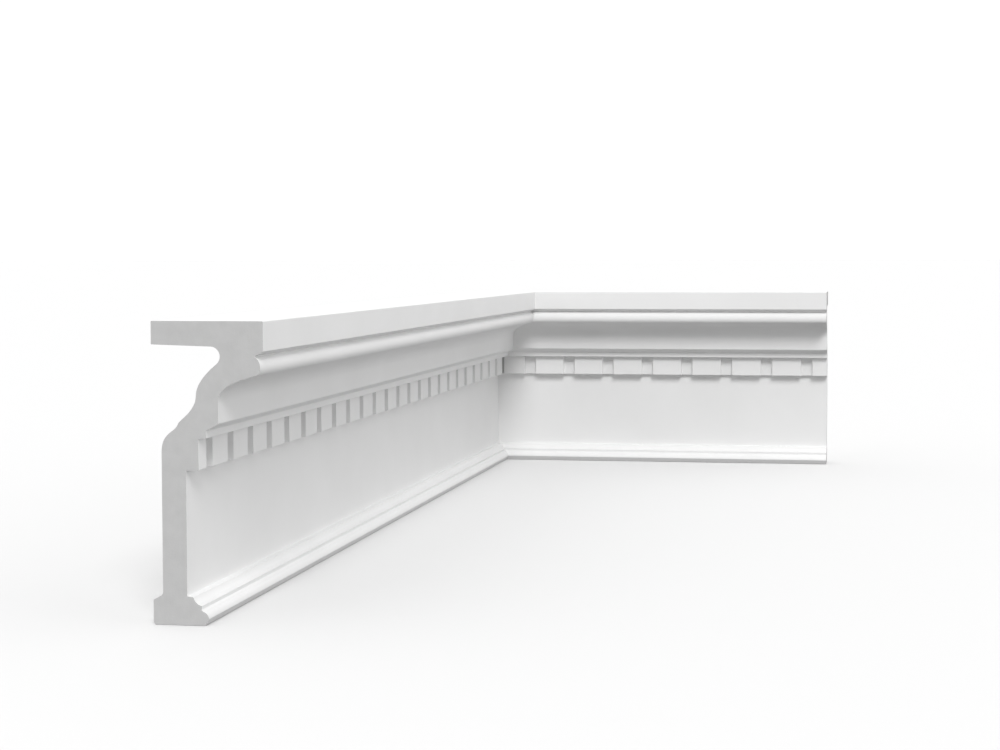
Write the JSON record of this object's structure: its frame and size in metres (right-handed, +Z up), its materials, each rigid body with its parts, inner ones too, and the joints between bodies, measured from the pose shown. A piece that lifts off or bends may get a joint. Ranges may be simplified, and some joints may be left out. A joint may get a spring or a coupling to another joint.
{
  "type": "dentil wall moulding corner",
  "caption": "Hollow-backed dentil cornice moulding in two lengths mitred round an inner wall corner, both cut square at their far ends.",
  "frame": {"origin": "middle of the whole corner piece on its underside", "axes": "+Z up, +Y along the long length from its cut end to the mitre, +X along the short length from the mitre to its cut end; the walls are the planes X = -0.175 and Y = 0.5"},
  "size_m": [0.35, 1, 0.17],
  "materials": {
    "primer": "matt white primer on moulded rigid polyurethane"
  },
  "bodies": {
    "root": {"long_length": "primer", "short_length": "primer"}
  },
  "joints": []
}
